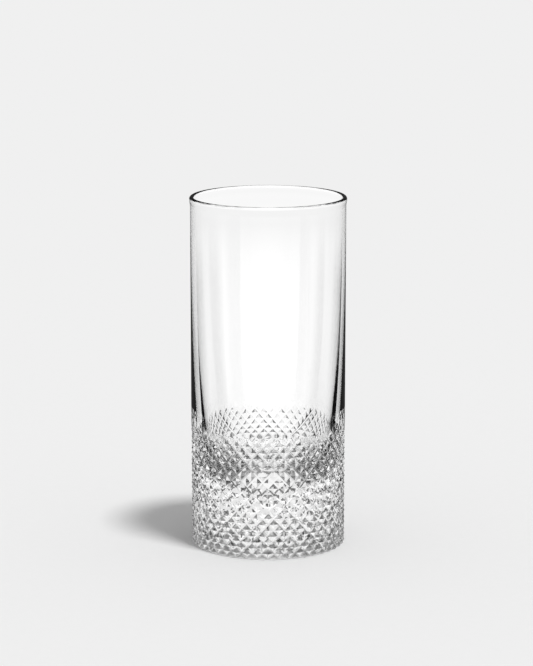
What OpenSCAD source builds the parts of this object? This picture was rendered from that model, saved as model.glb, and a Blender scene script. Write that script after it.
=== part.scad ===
/* [Glass] */
// Height from the table to the top of the lip
glass_h = 150; // [120:1:200]
// Outside diameter of the plain wall
outer_d = 66; // [56:0.5:90]
/* [Lip] */
// Thickness of the wall just under the lip
rim_wall = 1.7; // [1.2:0.1:3]
// How far the melted lip stands out beyond the plain wall
lip_swell = 0.35; // [0.1:0.05:0.6]
/* [Inside] */
// Thickness of the solid glass under the middle of the inside
floor_h = 20.5; // [14:0.5:26]
// Height of the narrowing bowl at the bottom of the inside
bowl_h = 23; // [18:0.5:34]
// Thickness of the wall where that bowl begins
bowl_wall = 6.3; // [4:0.1:8]
/* [Cutting] */
// Height of one cut diamond
diamond_h = 5.15; // [4:0.05:6]
// Number of staggered rows of diamonds, each half a diamond above the last
diamond_rows = 19; // [14:1:20]
// Number of diamonds around the glass
diamonds_around = 44; // [32:1:52]
// Depth of the grooves
groove_depth = 0.7; // [0.5:0.05:1.2]
// Height over which the grooves fade out above the top diamonds
fade_h = 1.2; // [0.6:0.1:2.5]
/* [Foot] */
// Width and height of the ground edge around the foot
foot_edge = 0.5; // [0.3:0.05:1]

/* [Hidden] */
$fn = 96;

// How fast the wall thickens downwards, as a power of the way down from the lip
thickening_power = 2.7;
// How late the bowl narrows, as a power of the way down it: 1 would be a cone
bowl_power = 2.1;
// Least glass left under the bowl in the cut wall
bowl_skin = 1;
// How far a cut runs past the face that it opens
overrun = 1;
// Steps of the outlines
wall_steps = 20;
bowl_steps = 16;
lip_steps = 12;
// Share of the groove depth that is left where the grooves begin to fade
fade_share = 0.5;

outer_r = outer_d / 2;
half_row = diamond_h / 2;
rows = diamond_rows;
columns = 2 * diamonds_around;
cut_top = rows * half_row + fade_h;
bowl_top = floor_h + bowl_h;
split_row = floor((floor_h - bowl_skin) / half_row);
lip_r = (rim_wall + lip_swell) / 2;
lip_centre_r = outer_r + lip_swell - lip_r;
lip_centre_h = glass_h - lip_r;

// Thickness of the wall at height z above the bowl: it grows downwards from the lip by a
// power of the way down
function wall_at(z) =
    rim_wall + (bowl_wall - rim_wall)
        * pow((lip_centre_h - z) / (lip_centre_h - bowl_top), thickening_power);

// Share of the full inner radius that the bowl leaves at height z: all of it at its top and
// nothing at the floor
function bowl_share(z) = 1 - pow((bowl_top - z) / bowl_h, bowl_power);

// Radius of the inside at height z
function inside_r(z) =
    z >= bowl_top ? outer_r - wall_at(z) : (outer_r - bowl_wall) * bowl_share(z);

// Outline of the inside beside the plain wall, from the lip down
function wall_outline() = [
    for (i = [0:wall_steps])
        let (z = lip_centre_h + (cut_top - lip_centre_h) * i / wall_steps)
        [inside_r(z), z]
];

// Outline of the inside beside the cut wall, from the floor up
function bowl_outline() = [
    for (i = [0:bowl_steps])
        let (z = floor_h + (cut_top - floor_h) * i / bowl_steps)
        [inside_r(z), z]
];

// Distance from the axis of a point of the cut surface. Points where grooves cross lie
// groove_depth inside, diamond tips lie on the full radius, and both take turns around
// and upwards. The last row fades into the plain wall.
function is_crossing(column, row) = (column + row) % 2 == 0;
function groove_at(column, row) =
    !is_crossing(column, row) ? 0 :
    row == rows ? groove_depth * fade_share :
    row > rows ? 0 : groove_depth;
function cut_r(column, row) = outer_r - groove_at(column, row);
function row_h(row) = row <= rows ? row * half_row : cut_top;

function ring_point(r, column, z) =
    let (a = 360 * column / columns) [r * cos(a), r * sin(a), z];

// Rings of the cut surface from one row to another, and over the ground edge at the foot
function cut_ring(row) = [
    for (column = [0:columns - 1]) ring_point(cut_r(column, row), column, row_h(row))
];
function foot_ring(z, inset) = [
    for (column = [0:columns - 1])
        ring_point(min(cut_r(column, 0), outer_r - inset), column, z)
];

// Two triangles for each cell, parted along the groove that runs through it
function cell_faces(ring, column, crossing) =
    let (
        next = (column + 1) % columns,
        a = ring * columns + column,
        b = ring * columns + next,
        c = a + columns,
        d = b + columns
    )
    crossing ? [[a, d, b], [a, c, d]] : [[a, c, b], [b, c, d]];

// Solid between two rows of the cutting: its rings, its cells and a flat face at each end
module cut_solid(first_row, last_row) {
    foot = first_row == 0;
    row_rings = [for (row = [first_row:last_row]) each cut_ring(row)];
    points = foot ? concat(foot_ring(0, foot_edge), foot_ring(foot_edge, 0),
        [for (row = [1:last_row]) each cut_ring(row)]) : row_rings;
    ring_count = len(points) / columns;
    top_start = (ring_count - 1) * columns;
    cells = [
        for (ring = [0:ring_count - 2], column = [0:columns - 1])
            let (row = first_row + (foot ? max(0, ring - 1) : ring))
            each cell_faces(ring, column, is_crossing(column, row))
    ];
    bottom = [[for (column = [0:columns - 1]) column]];
    top = [[for (column = [0:columns - 1]) top_start + columns - 1 - column]];
    polyhedron(points = points, faces = concat(cells, bottom, top), convexity = 4);
}

// Plain upper wall with its melted lip
module plain_wall() {
    lip_outline = [
        for (i = [0:lip_steps - 1])
            let (a = 180 * i / lip_steps)
            [lip_centre_r + lip_r * cos(a), lip_centre_h + lip_r * sin(a)]
    ];
    color("gainsboro", 0.45)
        rotate_extrude()
            polygon(concat(
                [[outer_r, cut_top], [outer_r, lip_centre_h - 2 * lip_r]],
                lip_outline,
                wall_outline()
            ));
}

// Lower wall with its cut diamonds outside and the narrowing bowl inside
module cut_wall() {
    color("lightgray", 0.6)
        difference() {
            cut_solid(split_row, rows + 1);
            rotate_extrude()
                polygon(concat(
                    bowl_outline(),
                    [[inside_r(cut_top), cut_top + overrun], [0, cut_top + overrun]]
                ));
        }
}

// Thick solid base, cut with diamonds around its side
module base() {
    color("silver", 0.7)
        cut_solid(0, split_row);
}

plain_wall();
cut_wall();
base();
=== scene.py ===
"""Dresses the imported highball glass: clear crystal, a melted lip and a diamond-cut band.

The glass is one closed surface worked out with numpy. Its outside climbs from the foot over
the cut band and the plain wall to the lip, and its inside goes down again to the bowl's floor.
"""
import logging
import math
from dataclasses import dataclass
from enum import Enum
from typing import Any, Callable, Union

import bpy
import numpy as np
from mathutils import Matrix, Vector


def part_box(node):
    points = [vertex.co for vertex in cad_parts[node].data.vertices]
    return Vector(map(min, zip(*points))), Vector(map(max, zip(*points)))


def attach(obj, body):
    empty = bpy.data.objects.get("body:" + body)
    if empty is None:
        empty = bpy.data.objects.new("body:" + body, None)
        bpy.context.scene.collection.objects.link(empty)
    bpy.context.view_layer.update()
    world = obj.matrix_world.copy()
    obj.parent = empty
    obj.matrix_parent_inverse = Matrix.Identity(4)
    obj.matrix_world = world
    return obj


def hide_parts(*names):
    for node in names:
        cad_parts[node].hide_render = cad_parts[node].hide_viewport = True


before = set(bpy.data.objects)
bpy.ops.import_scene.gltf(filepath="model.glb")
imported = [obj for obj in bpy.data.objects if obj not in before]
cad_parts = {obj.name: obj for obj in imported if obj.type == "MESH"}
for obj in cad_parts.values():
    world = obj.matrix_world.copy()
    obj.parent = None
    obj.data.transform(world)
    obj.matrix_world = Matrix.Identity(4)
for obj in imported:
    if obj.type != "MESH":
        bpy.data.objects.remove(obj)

log = logging.getLogger("highball")
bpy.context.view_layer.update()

MM = 0.001
ROOT = "root"
SHARP_ANGLE = math.radians(12.0)


class Climb(Enum):
    """The two families of grooves, by the way in which they climb."""

    RIGHT = 0
    LEFT = 1


def grey(level: float) -> tuple[float, float, float, float]:
    """An even grey as a colour."""
    return (level, level, level, 1.0)


def smooth_step(share: np.ndarray) -> np.ndarray:
    """Smooth rise from 0 to 1: three times the square less twice the cube."""
    return share * share * (3.0 - 2.0 * share)


class Val:
    """A number socket in a material, written as a Python expression."""

    def __init__(self, tree: bpy.types.NodeTree, source: Any) -> None:
        """Wraps an output socket or a plain number of one node tree."""
        self.tree = tree
        self.source = source

    def _math(self, operation: str, first: Any, second: Any = None) -> "Val":
        """Adds one Math node.

        Args:
            operation: The Math node's operation.
            first: Its first value, a Val or a number.
            second: Its second value, where the operation takes one.

        Returns:
            The node's result.
        """
        node = self.tree.nodes.new("ShaderNodeMath")
        node.operation = operation
        for slot, value in enumerate((first, second)):
            if isinstance(value, Val):
                self.tree.links.new(value.source, node.inputs[slot])
            elif value is not None:
                node.inputs[slot].default_value = value
        return Val(self.tree, node.outputs[0])

    def __add__(self, other: Any) -> "Val":
        """Sum."""
        return self._math("ADD", self, other)

    def __radd__(self, other: Any) -> "Val":
        """Sum, with the number first."""
        return self._math("ADD", other, self)

    def __sub__(self, other: Any) -> "Val":
        """Difference."""
        return self._math("SUBTRACT", self, other)

    def __rsub__(self, other: Any) -> "Val":
        """Difference, with the number first."""
        return self._math("SUBTRACT", other, self)

    def __mul__(self, other: Any) -> "Val":
        """Product."""
        return self._math("MULTIPLY", self, other)

    def __rmul__(self, other: Any) -> "Val":
        """Product, with the number first."""
        return self._math("MULTIPLY", other, self)

    def size(self) -> "Val":
        """The value without its sign."""
        return self._math("ABSOLUTE", self)

    def larger(self, other: Any) -> "Val":
        """The larger of two values."""
        return self._math("MAXIMUM", self, other)

    def root(self) -> "Val":
        """Square root."""
        return self._math("SQRT", self)

    def turn_towards(self, other: "Val") -> "Val":
        """Angle of the point (other, self), in radians from minus pi to pi."""
        return self._math("ARCTAN2", self, other)


class Shader:
    """The node tree of one material or world, emptied and ready for its nodes."""

    def __init__(self, owner: Union[bpy.types.Material, bpy.types.World]) -> None:
        """Takes over the node tree of a material or world."""
        owner.use_nodes = True
        self.tree = owner.node_tree
        self.tree.nodes.clear()

    def node(
        self, kind: str, settings: dict[str, Any] | None = None, **inputs: Any
    ) -> bpy.types.Node:
        """Adds any node.

        Args:
            kind: The node's type, without its leading ShaderNode.
            settings: Properties of the node, which are set first.
            **inputs: Values, Vals or sockets, by the input's name with _ for a space, or by
                i and its number.

        Returns:
            The node.
        """
        node = self.tree.nodes.new("ShaderNode" + kind)
        for name, value in (settings or {}).items():
            setattr(node, name, value)
        for name, value in inputs.items():
            by_number = name[1:].isdigit()
            socket = node.inputs[int(name[1:]) if by_number else name.replace("_", " ")]
            if isinstance(value, Val):
                value = value.source
            if isinstance(value, bpy.types.NodeSocket):
                self.tree.links.new(value, socket)
            else:
                socket.default_value = value
        return node

    def val(self, socket: bpy.types.NodeSocket) -> Val:
        """Wraps a socket for use in an expression."""
        return Val(self.tree, socket)

    def ramp(self, value: Any, start: float, end: float) -> Val:
        """Smooth step from 0 at start to 1 at end."""
        smooth = {"interpolation_type": "SMOOTHSTEP"}
        node = self.node("MapRange", smooth, Value=value, From_Min=start, From_Max=end)
        return self.val(node.outputs["Result"])

    def finish(self, shader: bpy.types.NodeSocket, kind: str = "OutputMaterial") -> None:
        """Links the last shader to the output."""
        output = self.node(kind)
        self.tree.links.new(shader, output.inputs["Surface"])


@dataclass(frozen=True)
class Crystal:
    """Clear polished crystal, faintly uneven from the fire and worn where it stands."""

    name: str = "clear_crystal"
    colour: tuple[float, float, float, float] = (1.0, 1.0, 1.0, 1.0)
    ior: float = 1.53
    draw_scale: float = 70.0
    draw_stretch: float = 0.12
    draw_depth: float = 0.006 * MM
    draw_detail: float = 1.0
    wear_h: float = 0.3 * MM
    wear: float = 0.22
    wear_scale: float = 900.0
    wear_detail: float = 3.0

    def material(self) -> bpy.types.Material:
        """Makes the material.

        The unevenness runs up and down, as the glass was drawn. The wear is a fine haze on
        the ring that slides over tables, and it's gone a hair above the foot.

        Returns:
            The material.
        """
        material = bpy.data.materials.new(self.name)
        shader = Shader(material)
        place = shader.node("TexCoord").outputs["Object"]
        stretch = (1.0, 1.0, self.draw_stretch)
        drawn = shader.node("VectorMath", {"operation": "MULTIPLY"}, i0=place, i1=stretch)
        waves = shader.node(
            "TexNoise", Vector=drawn.outputs[0], Scale=self.draw_scale, Detail=self.draw_detail
        )
        uneven = shader.node("Bump", Height=waves.outputs["Fac"], Distance=self.draw_depth)
        height = shader.val(shader.node("SeparateXYZ", Vector=place).outputs[2])
        scratches = shader.node(
            "TexNoise", Vector=place, Scale=self.wear_scale, Detail=self.wear_detail
        )
        foot = 1.0 - shader.ramp(height, 0.0, self.wear_h)
        haze = foot * shader.val(scratches.outputs["Fac"]) * self.wear
        glass = shader.node(
            "BsdfPrincipled",
            Base_Color=self.colour,
            Roughness=haze,
            IOR=self.ior,
            Transmission_Weight=1.0,
            Normal=uneven.outputs[0],
        )
        shader.finish(glass.outputs[0])
        return material


@dataclass
class Cutting:
    """The two crossing families of grooves around the lower wall.

    A point of the band has two coordinates, p and q. Whole values of p are the middles of the
    grooves that climb to the right, and whole values of q those that climb to the left. The
    way around is p + q and the way up is p - q, both counted in half diamonds.
    """

    around: int = 44
    rows: int = 21
    half_row: float = 2.575 * MM
    depth: float = 0.70 * MM
    roundness: float = 1.15
    lines: tuple[float, ...] = (0.0, 0.1, 0.2, 0.35, 0.5, 0.65, 0.8, 0.9)
    floor_share: float = 0.1
    top_gap: float = 0.3
    fade_rows: float = 2.2
    place_wander: float = 0.035
    depth_wander: float = 0.1
    fade_wander: float = 0.25
    seed: int = 7

    def __post_init__(self) -> None:
        """Draws each groove's own small errors of place, depth and length."""
        rng = np.random.default_rng(self.seed)
        shape = (2, self.around)
        self.place = rng.normal(0.0, self.place_wander, shape)
        self.deeper = 1.0 + rng.normal(0.0, self.depth_wander, shape)
        self.longer = rng.normal(0.0, self.fade_wander, shape)

    def coordinate(self, index: np.ndarray) -> np.ndarray:
        """Makes steps of the mesh's lines into p or q: whole grooves plus the line's share.

        Args:
            index: Steps counted from the first line.

        Returns:
            The coordinate, p or q.
        """
        lines = np.asarray(self.lines)
        steps = len(lines)
        return index // steps + lines[index % steps]

    def groove(self, family: Climb, across: np.ndarray, up: np.ndarray) -> np.ndarray:
        """Depth that one family of grooves takes off the wall.

        The cut is a V with hollow flanks: full at the groove's middle and nothing halfway to
        the next groove, with a narrow flat floor. It fades to nothing at the top of the band.

        Args:
            family: The way that these grooves climb.
            across: The coordinate across these grooves.
            up: The way up, in half diamonds.

        Returns:
            The depth at each point, in metres.
        """
        nearest = np.rint(across).astype(int)
        away = np.abs(across - nearest)
        groove = nearest % self.around
        slope = (0.5 - np.maximum(away, self.floor_share)) / (0.5 - self.floor_share)
        end = self.rows - self.top_gap + np.minimum(self.longer[family.value, groove], 0.0)
        fade = np.clip((end - up) / self.fade_rows, 0.0, 1.0)
        deep = self.depth * self.deeper[family.value, groove]
        return deep * slope ** self.roundness * smooth_step(fade)

    def shifted(self, family: Climb, across: np.ndarray) -> np.ndarray:
        """Place of a mesh line, moved with the groove that it belongs to.

        A groove's own error of place is carried by its middle and blends evenly into the next
        groove's on the way there.

        Args:
            family: The way that these grooves climb.
            across: The coordinate across these grooves.

        Returns:
            The moved coordinate.
        """
        below = np.floor(across).astype(int)
        share = across - below
        here = self.place[family.value, below % self.around]
        there = self.place[family.value, (below + 1) % self.around]
        return across + here * (1.0 - share) + there * share


@dataclass
class Tumbler:
    """The glass itself: foot, cut band, plain wall, lip and inside, as one closed surface."""

    outer_r: float
    height: float
    cutting: Cutting
    rim_wall: float = 1.7 * MM
    lip_swell: float = 0.35 * MM
    floor_h: float = 20.5 * MM
    bowl_h: float = 23.0 * MM
    bowl_wall: float = 6.3 * MM
    thickening_power: float = 2.7
    bowl_power: float = 2.1
    bowl_tip: float = 1.0 * MM
    foot_edge: float = 0.5 * MM
    punt_r: float = 27.0 * MM
    punt_h: float = 0.4 * MM
    punt_start: float = 0.12
    swell_reach: float = 3.0
    band_gap: float = 1.0 * MM
    punt_rows: int = 8
    edge_rows: int = 5
    wall_rows: int = 7
    swell_rows: int = 6
    lip_rows: int = 15
    inside_rows: int = 18
    bowl_rows: int = 30

    @property
    def lip_r(self) -> float:
        """Radius of the melted lip's round."""
        return (self.rim_wall + self.lip_swell) / 2

    @property
    def lip_centre(self) -> tuple[float, float]:
        """Distance from the axis and height of the middle of the lip's round."""
        return self.outer_r + self.lip_swell - self.lip_r, self.height - self.lip_r

    def inside_r(self, z: np.ndarray) -> np.ndarray:
        """Radius of the inside at a height.

        Above the bowl the wall thickens downwards by a power of the way from the lip. In the
        bowl the full radius shrinks by a power of the way down.

        Args:
            z: Heights above the table.

        Returns:
            The radius at each height.
        """
        bowl_top = self.floor_h + self.bowl_h
        lip_h = self.lip_centre[1]
        down = np.clip((lip_h - z) / (lip_h - bowl_top), 0.0, 1.0)
        wall = self.rim_wall + (self.bowl_wall - self.rim_wall) * down ** self.thickening_power
        below = np.clip((bowl_top - z) / self.bowl_h, 0.0, 1.0)
        return (self.outer_r - wall) * (1.0 - below ** self.bowl_power)

    def rounded(self, z: np.ndarray) -> np.ndarray:
        """Heights in the bowl with its point rounded: the hypotenuse of height and tip."""
        return self.floor_h + np.hypot(z - self.floor_h, self.bowl_tip)

    def band(self) -> tuple[np.ndarray, np.ndarray]:
        """The cut band on its staggered grid.

        Row b of the grid holds the points whose p and q steps differ by b, so that every
        groove and every edge of a diamond runs along the grid's lines.

        Returns:
            Points as rows, columns and x, y, z, and the triangles as indices into them.
        """
        cut = self.cutting
        steps = len(cut.lines)
        columns = cut.around * steps
        b, k = np.meshgrid(np.arange(cut.rows * steps + 1), np.arange(columns), indexing="ij")
        around = 2 * k + b % 2
        p_step, q_step = (around + b) // 2, (around - b) // 2
        p, q = cut.coordinate(p_step), cut.coordinate(q_step)
        up = p - q
        deep = np.maximum(cut.groove(Climb.RIGHT, p, up), cut.groove(Climb.LEFT, q, up))
        p_moved, q_moved = cut.shifted(Climb.RIGHT, p), cut.shifted(Climb.LEFT, q)
        steady = np.clip(np.minimum(up, cut.rows - up), 0.0, 1.0)
        up_moved = up + steady * (p_moved - q_moved - up)
        around_moved = p_moved + q_moved
        angle = math.pi * around_moved / cut.around
        r = self.outer_r - deep
        z = up_moved * cut.half_row
        first_row = self.foot_edge + up_moved * (cut.half_row - self.foot_edge)
        z = np.where(up_moved < 1.0, first_row, z)
        points = np.stack([r * np.cos(angle), r * np.sin(angle), z], axis=-1)

        last = b.max()
        left = b * columns + k
        right = b * columns + (k + 1) % columns
        shift = b % 2
        above = (b + 1) * columns + (k + shift) % columns
        below = (b - 1) * columns + (k + shift) % columns
        level = (p_step % steps) == (q_step % steps)
        level_cells = level & (b > 0) & (b < last)
        cells = ~level & (b > 0) & (b < last)
        has_top = (b == 0) | level_cells
        has_bottom = (b == last) | level_cells
        faces = np.concatenate([
            np.stack([left, right, above], axis=-1)[has_top],
            np.stack([left, below, right], axis=-1)[has_bottom],
            np.stack([left, below, above], axis=-1)[cells],
            np.stack([below, right, above], axis=-1)[cells],
        ])
        return points, faces

    def ring_rows(self, profile: np.ndarray, angles: np.ndarray) -> np.ndarray:
        """Carries an outline around the axis.

        Args:
            profile: Distance from the axis and height of each row.
            angles: The way around of each column.

        Returns:
            Points as rows, columns and x, y, z.
        """
        r, z = profile[:, :1], profile[:, 1:]
        x, y = r * np.cos(angles), r * np.sin(angles)
        return np.stack([x, y, np.broadcast_to(z, x.shape)], axis=-1)

    def foot(self, edge_ring: np.ndarray) -> np.ndarray:
        """Rows from the middle of the foot out to the ground edge under the band.

        The middle lies a little high, as a shallow dome, and the glass stands on the ring
        around it. The edge is a quarter round that follows the cut outline above it.

        Args:
            edge_ring: The band's lowest ring of points.

        Returns:
            Points as rows, columns and x, y, z.
        """
        edge_angle = np.arctan2(edge_ring[:, 1], edge_ring[:, 0])
        edge_r = np.hypot(edge_ring[:, 0], edge_ring[:, 1])
        share = np.linspace(self.punt_start, 1.0, self.punt_rows)
        dome = np.stack([self.punt_r * share, self.punt_h * (1.0 - share ** 2)], axis=-1)
        flat = self.ring_rows(dome, edge_angle)
        turn = np.linspace(0.0, math.pi / 2, self.edge_rows)[:-1]
        inset = self.foot_edge * (1.0 - np.sin(turn))
        r = np.minimum(edge_r[None, :], (self.outer_r - inset)[:, None])
        z = np.broadcast_to((self.foot_edge * (1.0 - np.cos(turn)))[:, None], r.shape)
        rounded = np.stack([r * np.cos(edge_angle), r * np.sin(edge_angle), z], axis=-1)
        return np.concatenate([flat, rounded])

    def upper(self, band_top: float, columns: int) -> np.ndarray:
        """Rows up the plain wall, over the lip and down the inside to the bowl's floor.

        The wall swells to the lip in a smooth step and the lip is a half round. The rows in
        the bowl crowd towards its floor with the square of the way.

        Args:
            band_top: Height of the cut band's last row.
            columns: Number of points around.

        Returns:
            Points as rows, columns and x, y, z.
        """
        centre_r, centre_h = self.lip_centre
        swell_h = self.swell_reach * self.lip_r
        wall_z = np.linspace(band_top + self.band_gap, centre_h - swell_h, self.wall_rows)
        wall = np.stack([np.full(self.wall_rows, self.outer_r), wall_z], axis=-1)
        rise = np.linspace(0.0, 1.0, self.swell_rows)[1:]
        swell_r = self.outer_r + self.lip_swell * smooth_step(rise)
        swell = np.stack([swell_r, centre_h - swell_h * (1.0 - rise)], axis=-1)
        turn = np.linspace(0.0, math.pi, self.lip_rows)[1:]
        round_r = centre_r + self.lip_r * np.cos(turn)
        lip = np.stack([round_r, centre_h + self.lip_r * np.sin(turn)], axis=-1)
        inner_z = np.linspace(centre_h, self.floor_h + self.bowl_h, self.inside_rows)[1:]
        way = np.linspace(1.0, 0.0, self.bowl_rows)[1:-1]
        z = np.concatenate([inner_z, self.floor_h + self.bowl_h * way ** 2])
        rounded_z = np.where(z < inner_z[-1], self.rounded(z), z)
        inside = np.stack([self.inside_r(z), rounded_z], axis=-1)
        profile = np.concatenate([wall, swell, lip, inside])
        angles = np.arange(columns) * (2.0 * math.pi / columns)
        return self.ring_rows(profile, angles)

    def build(self, columns: int = 480) -> tuple[np.ndarray, np.ndarray]:
        """Joins foot, band and upper glass into one closed surface.

        Args:
            columns: Number of points around the plain wall, lip and inside.

        Returns:
            All points, and all triangles as indices into them.
        """
        band, band_faces = self.band()
        foot = self.foot(band[0])
        upper = self.upper(float(band[-1, 0, 2]), columns)
        foot_flat, band_flat, upper_flat = (
            part.reshape(-1, 3) for part in (foot, band, upper)
        )
        band_start = len(foot_flat)
        upper_start = band_start + len(band_flat)
        poles = np.array([[0.0, 0.0, self.punt_h], [0.0, 0.0, self.floor_h + self.bowl_tip]])
        points = np.concatenate([foot_flat, band_flat, upper_flat, poles])
        low_pole, high_pole = len(points) - 2, len(points) - 1
        band_columns = band.shape[1]
        band_top = upper_start - band_columns
        faces = [
            grid_faces(0, foot.shape[0] + 1, band_columns),
            band_faces + band_start,
            zip_faces(band_top, band[-1], upper_start, upper[0]),
            grid_faces(upper_start, upper.shape[0], columns),
            fan_faces(low_pole, 0, band_columns, False),
            fan_faces(high_pole, upper_start + (upper.shape[0] - 1) * columns, columns, True),
        ]
        return points, np.concatenate(faces)


def grid_faces(start: int, rows: int, columns: int) -> np.ndarray:
    """Two triangles for each cell of a ring grid, facing out where rows climb.

    Args:
        start: Index of the grid's first point.
        rows: Number of its rows.
        columns: Number of points around.

    Returns:
        The triangles as indices.
    """
    row, column = np.meshgrid(np.arange(rows - 1), np.arange(columns), indexing="ij")
    a = start + row * columns + column
    b = start + row * columns + (column + 1) % columns
    c, d = a + columns, b + columns
    halves = [np.stack([a, b, d], axis=-1), np.stack([a, d, c], axis=-1)]
    return np.concatenate(halves).reshape(-1, 3)


def fan_faces(pole: int, start: int, columns: int, above: bool) -> np.ndarray:
    """Triangles between a pole and a ring.

    Args:
        pole: Index of the pole.
        start: Index of the ring's first point.
        columns: Number of the ring's points.
        above: Whether the pole comes after the ring along the surface, or before it.

    Returns:
        The triangles as indices.
    """
    column = np.arange(columns)
    a, b = start + column, start + (column + 1) % columns
    tip = np.full(columns, pole)
    return np.stack([a, b, tip] if above else [b, a, tip], axis=-1)


def zip_faces(low_start: int, low: np.ndarray, high_start: int, high: np.ndarray) -> np.ndarray:
    """Triangles between two rings with different numbers of points.

    Each ring's next point makes one triangle with the point that the other ring has reached
    by then, in the order of their angles.

    Args:
        low_start: Index of the lower ring's first point.
        low: The lower ring's points.
        high_start: Index of the upper ring's first point.
        high: The upper ring's points.

    Returns:
        The triangles as indices.
    """
    turn = 2.0 * math.pi
    low_angle = np.arctan2(low[:, 1], low[:, 0]) % turn
    high_angle = np.arctan2(high[:, 1], high[:, 0]) % turn
    low_order, high_order = np.argsort(low_angle), np.argsort(high_angle)
    low_sorted, high_sorted = low_angle[low_order], high_angle[high_order]
    low_next, high_next = np.roll(low_order, -1), np.roll(high_order, -1)
    low_past, high_past = np.roll(low_sorted, -1), np.roll(high_sorted, -1)
    reached_high = (np.searchsorted(high_sorted, low_past, side="left") - 1) % len(high)
    reached_low = (np.searchsorted(low_sorted, high_past, side="right") - 1) % len(low)
    from_low = [
        low_start + low_order,
        low_start + low_next,
        high_start + high_order[reached_high],
    ]
    from_high = [
        low_start + low_order[reached_low],
        high_start + high_next,
        high_start + high_order,
    ]
    return np.concatenate([np.stack(from_low, axis=-1), np.stack(from_high, axis=-1)])


def mesh_object(
    name: str, points: np.ndarray, faces: np.ndarray, sharp_angle: float
) -> bpy.types.Object:
    """Makes an object of triangles, smooth but for its edges past an angle.

    Args:
        name: The object's name.
        points: Places of the points, in metres.
        faces: Triangles as indices.
        sharp_angle: Angle between two faces past which their edge stays sharp.

    Returns:
        The object, linked into the scene.
    """
    mesh = bpy.data.meshes.new(name)
    mesh.from_pydata(points.tolist(), [], faces.tolist())
    mesh.update()
    mesh.polygons.foreach_set("use_smooth", np.ones(len(mesh.polygons), dtype=bool))
    mesh.set_sharp_from_angle(angle=sharp_angle)
    piece = bpy.data.objects.new(name, mesh)
    bpy.context.scene.collection.objects.link(piece)
    return piece


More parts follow.
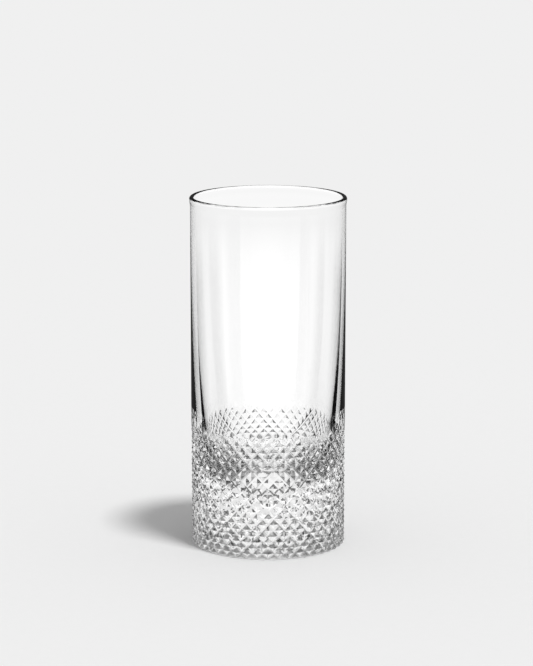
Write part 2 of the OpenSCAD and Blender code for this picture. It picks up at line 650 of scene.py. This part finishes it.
@dataclass(frozen=True)
class Screen:
    """Painted shade at both sides of the glass, seen only through it, open behind and in front.

    Black sheets stand on the floor at both sides: they begin sharply beside the gaps and thin
    out towards the very side, a thin grey of painted shade reaches into the gaps, and a flat
    sheet of the same painted shade lies between, with more of it under the foot. The front half
    mirrors the back half. Only rays through the glass find the sheets, so the light on the glass
    and the floor is as without them; they paint the dark edges and grey sides in the glass. All
    of it stands still.
    """

    right_edge: float = math.radians(55.0)
    left_edge: float = math.radians(58.5)
    lean: float = math.radians(-5.0)
    lean_h: float = 220.0 * MM
    softness: float = math.radians(0.7)
    radius: float = 90.0 * MM
    full_h: float = 90.0 * MM
    height: float = 135.0 * MM
    gap_shade: float = 0.18
    gap_shade_from: float = math.radians(6.0)
    gap_shade_full: float = math.radians(38.0)
    thin_from: float = math.radians(70.0)
    mat_thin_from: float = math.radians(75.0)
    very_side: float = math.radians(90.0)
    foot_r: float = 33.5 * MM
    mat_from: float = math.radians(14.0)
    mat_full: float = math.radians(46.0)
    under_from: float = 8.0 * MM
    under_full: float = 26.0 * MM
    under_foot_shade: float = 0.7
    foot_softness: float = 1.5 * MM
    mat_hole_r: float = 0.1 * MM
    mat_h: float = -0.03 * MM
    tube_columns: int = 145
    tube_rows: int = 9
    mat_columns: int = 97
    mat_rows: int = 7

    def build(self) -> None:
        """Stands the tube and lays the mat.

        A point of either is its distance from the axis times the sine and cosine of the way
        around, from +Y towards +X. The tube climbs at one distance, the mat lies at one height.
        """
        # The tube and the mat are painted shade, seen only by rays through the glass.
        turn = np.linspace(0.0, 2.0 * math.pi, self.tube_columns)
        across, up = np.meshgrid(turn, np.linspace(0.0, self.height, self.tube_rows))
        r = self.radius
        tube = np.stack([r * np.sin(across), r * np.cos(across), up], axis=-1)
        self.hang("painted_shade_tube", tube, self.tube_cover)
        turn = np.linspace(0.0, 2.0 * math.pi, self.mat_columns)
        across, r = np.meshgrid(turn, np.linspace(self.mat_hole_r, self.radius, self.mat_rows))
        low = np.full(r.shape, self.mat_h)
        mat = np.stack([r * np.sin(across), r * np.cos(across), low], axis=-1)
        self.hang("painted_shade_mat", mat, self.mat_cover)

    def hang(
        self, name: str, grid: np.ndarray, cover: Callable[[Shader, list[Val]], Val]
    ) -> None:
        """Makes one black sheet that shows only through glass, where it paints shade.

        Args:
            name: The object's name.
            grid: Its points as rows, columns and x, y, z.
            cover: How much painted shade the sheet holds, from 0 to 1, given x, y and z.
        """
        rows, columns = grid.shape[:2]
        row, column = np.meshgrid(np.arange(rows - 1), np.arange(columns - 1), indexing="ij")
        a = (row * columns + column).ravel()
        faces = np.stack([a, a + 1, a + columns + 1, a + columns], axis=-1)
        mesh = bpy.data.meshes.new(name)
        mesh.from_pydata(grid.reshape(-1, 3).tolist(), [], faces.tolist())
        shade_sheet = bpy.data.objects.new(name, mesh)
        bpy.context.scene.collection.objects.link(shade_sheet)
        shade_sheet.visible_camera = shade_sheet.visible_diffuse = shade_sheet.visible_shadow = False
        shade_sheet.visible_glossy = False
        material = bpy.data.materials.new(name)
        shader = Shader(material)
        place = shader.node("SeparateXYZ", Vector=shader.node("TexCoord").outputs["Object"])
        there = cover(shader, [shader.val(place.outputs[axis]) for axis in range(3)])
        # Black where the sheet paints shade, clear where it doesn't.
        black = shader.node("BsdfDiffuse", Color=grey(0.0))
        clear = shader.node("BsdfTransparent")
        mix = shader.node("MixShader", i0=there, i1=clear.outputs[0], i2=black.outputs[0])
        shader.finish(mix.outputs[0])
        shade_sheet.data.materials.append(material)

    def tube_cover(self, shader: Shader, place: list[Val]) -> Val:
        """Painted shade that ends at two leaning edges, and thins out upwards and to the very
        side.

        Args:
            shader: The sheet's node tree.
            place: x, y and z of a point.

        Returns:
            How much painted shade is there, from 0 to 1.
        """
        x, y, z = place
        straight = x.turn_towards(y.size())
        across = straight - z * (self.lean / self.lean_h)
        soft = self.softness
        right = shader.ramp(across, self.right_edge - soft, self.right_edge + soft)
        left = shader.ramp(across * -1.0, self.left_edge - soft, self.left_edge + soft)
        side = straight.size()
        # A thin grey of painted shade reaching into the gaps.
        gap_shade = shader.ramp(side, self.gap_shade_from, self.gap_shade_full) * self.gap_shade
        thick = 1.0 - shader.ramp(side, self.thin_from, self.very_side)
        low = 1.0 - shader.ramp(z, self.full_h, self.height)
        return right.larger(left).larger(gap_shade) * thick * low

    def mat_cover(self, shader: Shader, place: list[Val]) -> Val:
        """Painted shade, thinning to the gaps, to the very side and under the foot's middle.

        Args:
            shader: The sheet's node tree.
            place: x, y and z of a point.

        Returns:
            How much painted shade is there, from 0 to 1.
        """
        x, y, _ = place
        across = x.turn_towards(y.size()).size()
        thick = 1.0 - shader.ramp(across, self.mat_thin_from, self.very_side)
        around = shader.ramp(across, self.mat_from, self.mat_full) * thick
        # Painted shade under the foot, clear in its middle and darker towards its sides.
        under = shader.ramp(x.size(), self.under_from, self.under_full) * self.under_foot_shade
        away = (x * x + y * y).root()
        soft = self.foot_softness
        outside = shader.ramp(away, self.foot_r - soft, self.foot_r + soft)
        return under + outside * (around - under)


@dataclass(frozen=True)
class Studio:
    """Pale seamless floor, soft light and the camera at the photograph's angle."""

    distance: float = 1046.7 * MM
    camera_h: float = 304.1 * MM
    aside: float = -0.7 * MM
    pitch: float = math.radians(11.51)
    lens: float = 135.3
    sensor: float = 36.0
    clip_start: float = 0.01
    floor_r: float = 6.0
    floor_h: float = -0.05 * MM
    floor_sides: int = 96
    paper: float = 0.871
    grain: float = 0.01
    fibre_scale: float = 260.0
    fibre_detail: float = 4.0
    backlight: float = 1.11
    backlight_falloff: float = 0.17
    low_sky: float = 0.95
    sky_through_glass: float = 0.25
    room_in_gloss: float = 0.06
    floor_in_gloss: float = 0.6
    under_foot: float = 1.0
    foot_shade: float = 0.1
    near_shade_level: float = 0.85
    near_ring: tuple[float, float] = (60.0 * MM, 120.0 * MM)
    far_ring: tuple[float, float] = (400.0 * MM, 1100.0 * MM)
    under_ring: tuple[float, float] = (15.0 * MM, 33.0 * MM)
    foot_ring: tuple[float, float] = (31.0 * MM, 35.0 * MM)
    gloss_ring: tuple[float, float] = (90.0 * MM, 220.0 * MM)
    sky_rise: tuple[float, float] = (0.05, 0.5)
    key_height: float = math.radians(73.0)
    key_aside: float = math.radians(43.7)
    key_spread: float = math.radians(9.0)
    key_share: float = 0.546

    def camera(self) -> None:
        """Places the camera in front, looking a little down."""
        data = bpy.data.cameras.new("camera")
        data.lens = self.lens
        data.sensor_width = self.sensor
        data.clip_start = self.clip_start
        camera = bpy.data.objects.new("camera", data)
        camera.location = (self.aside, -self.distance, self.camera_h)
        camera.rotation_euler = (math.pi / 2 - self.pitch, 0.0, 0.0)
        bpy.context.scene.collection.objects.link(camera)
        bpy.context.scene.camera = camera
        bpy.context.view_layer.update()

    def floor(self) -> None:
        """Lays the floor, a hair under the foot, as one flat face with many sides."""
        angle = np.arange(self.floor_sides) * (2.0 * math.pi / self.floor_sides)
        low = np.full(self.floor_sides, self.floor_h)
        r = self.floor_r
        ring = np.stack([r * np.cos(angle), r * np.sin(angle), low], axis=-1)
        mesh = bpy.data.meshes.new("floor")
        mesh.from_pydata(ring.tolist(), [], [list(range(self.floor_sides))])
        floor = bpy.data.objects.new("floor", mesh)
        bpy.context.scene.collection.objects.link(floor)
        floor.data.materials.append(self.pale_paper())

    def pale_paper(self) -> bpy.types.Material:
        """Makes the floor's material.

        The camera and plain light find paper with a faint grain. Rays through the glass find
        a painted glow whose level goes by the distance from the axis: painted shade under the
        foot's edge and just around the foot, then painted light a little over 1 behind it, for
        the light that four faces of glass take, and a little less far away. Rays off the glass
        find a painted level that falls with that distance, from a lit floor by the glass to the
        dark room.

        Returns:
            The material.
        """
        material = bpy.data.materials.new("pale_paper")
        shader = Shader(material)
        path = shader.node("LightPath")
        through = shader.val(path.outputs["Is Transmission Ray"])
        seen = through.larger(shader.val(path.outputs["Is Glossy Ray"]))
        place = shader.node("TexCoord").outputs["Object"]
        fibres = shader.node(
            "TexNoise", Vector=place, Scale=self.fibre_scale, Detail=self.fibre_detail
        )
        grain = shader.node(
            "Mix",
            {"data_type": "RGBA"},
            Factor=fibres.outputs["Fac"],
            A=grey(self.paper * (1.0 - self.grain)),
            B=grey(self.paper * (1.0 + self.grain)),
        )
        paper = shader.node("BsdfDiffuse", Color=grain.outputs["Result"])
        length = shader.node("VectorMath", {"operation": "LENGTH"}, i0=place)
        # Painted light and shade for rays through the glass: dimmer near the foot, over 1 behind
        # it.
        away = shader.val(length.outputs["Value"])
        brighter = self.backlight - self.near_shade_level
        behind = self.near_shade_level + shader.ramp(away, *self.near_ring) * brighter
        behind = behind - shader.ramp(away, *self.far_ring) * self.backlight_falloff
        foot = self.under_foot - shader.ramp(away, *self.under_ring) * self.foot_shade
        level = foot + shader.ramp(away, *self.foot_ring) * (behind - foot)
        dimmer = self.floor_in_gloss - self.room_in_gloss
        gloss = self.floor_in_gloss - shader.ramp(away, *self.gloss_ring) * dimmer
        level = level * through + gloss * (1.0 - through)
        bright = shader.node("Emission", Color=grey(1.0), Strength=level)
        mix = shader.node("MixShader", i0=seen, i1=paper.outputs[0], i2=bright.outputs[0])
        shader.finish(mix.outputs[0])
        material.cycles.emission_sampling = "NONE"
        return material

    def key(self) -> None:
        """Hangs the soft key light high to the right of the camera."""
        data = bpy.data.lights.new("key", "SUN")
        data.energy = self.key_share * math.pi / math.sin(self.key_height)
        data.angle = self.key_spread
        key = bpy.data.objects.new("key", data)
        key.rotation_euler = (math.pi / 2 - self.key_height, 0.0, self.key_aside)
        key.visible_transmission = False
        key.visible_glossy = False
        bpy.context.scene.collection.objects.link(key)

    def world(self) -> None:
        """Even soft light from all around, and the pale background behind it.

        The camera finds the paper's grey and plain surfaces find the even light. Rays through
        the glass find a sky that darkens upwards, and rays off it a dark room.
        """
        world = bpy.data.worlds.new("soft_light")
        bpy.context.scene.world = world
        shader = Shader(world)
        path = shader.node("LightPath")
        camera, diffuse, through, glossy = (
            shader.val(path.outputs[kind])
            for kind in ("Is Camera Ray", "Is Diffuse Ray", "Is Transmission Ray", "Is Glossy Ray")
        )
        direction = shader.node("TexCoord").outputs["Generated"]
        height = shader.val(shader.node("SeparateXYZ", Vector=direction).outputs[2])
        dimmer = self.sky_through_glass - self.low_sky
        sky = self.low_sky + shader.ramp(height, *self.sky_rise) * dimmer
        seen_in_glass = through * sky + (1.0 - through) * self.room_in_gloss
        plain = camera * self.paper + diffuse * (1.0 - self.key_share)
        level = plain + glossy * seen_in_glass
        light = shader.node("Background", Color=grey(1.0), Strength=level)
        shader.finish(light.outputs[0], "OutputWorld")


def main() -> None:
    """Builds the glass and its surroundings."""
    logging.basicConfig(level=logging.INFO, format="%(message)s")
    _, wall_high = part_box("plain_wall")
    cut_low, cut_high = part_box("cut_wall")
    studio = Studio()
    studio.camera()
    studio.floor()
    studio.key()
    studio.world()
    Screen().build()
    tumbler = Tumbler(
        outer_r=(cut_high.x - cut_low.x) / 2,
        height=wall_high.z,
        cutting=Cutting(),
    )
    points, faces = tumbler.build()
    glass = mesh_object("highball_glass", points, faces, SHARP_ANGLE)
    glass.data.materials.append(Crystal().material())
    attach(glass, ROOT)
    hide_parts("plain_wall", "cut_wall", "base")
    log.info("highball_glass: %d points, %d triangles", len(points), len(faces))
    bpy.context.scene.view_settings.view_transform = "Standard"


if __name__ == "__main__":
    main()
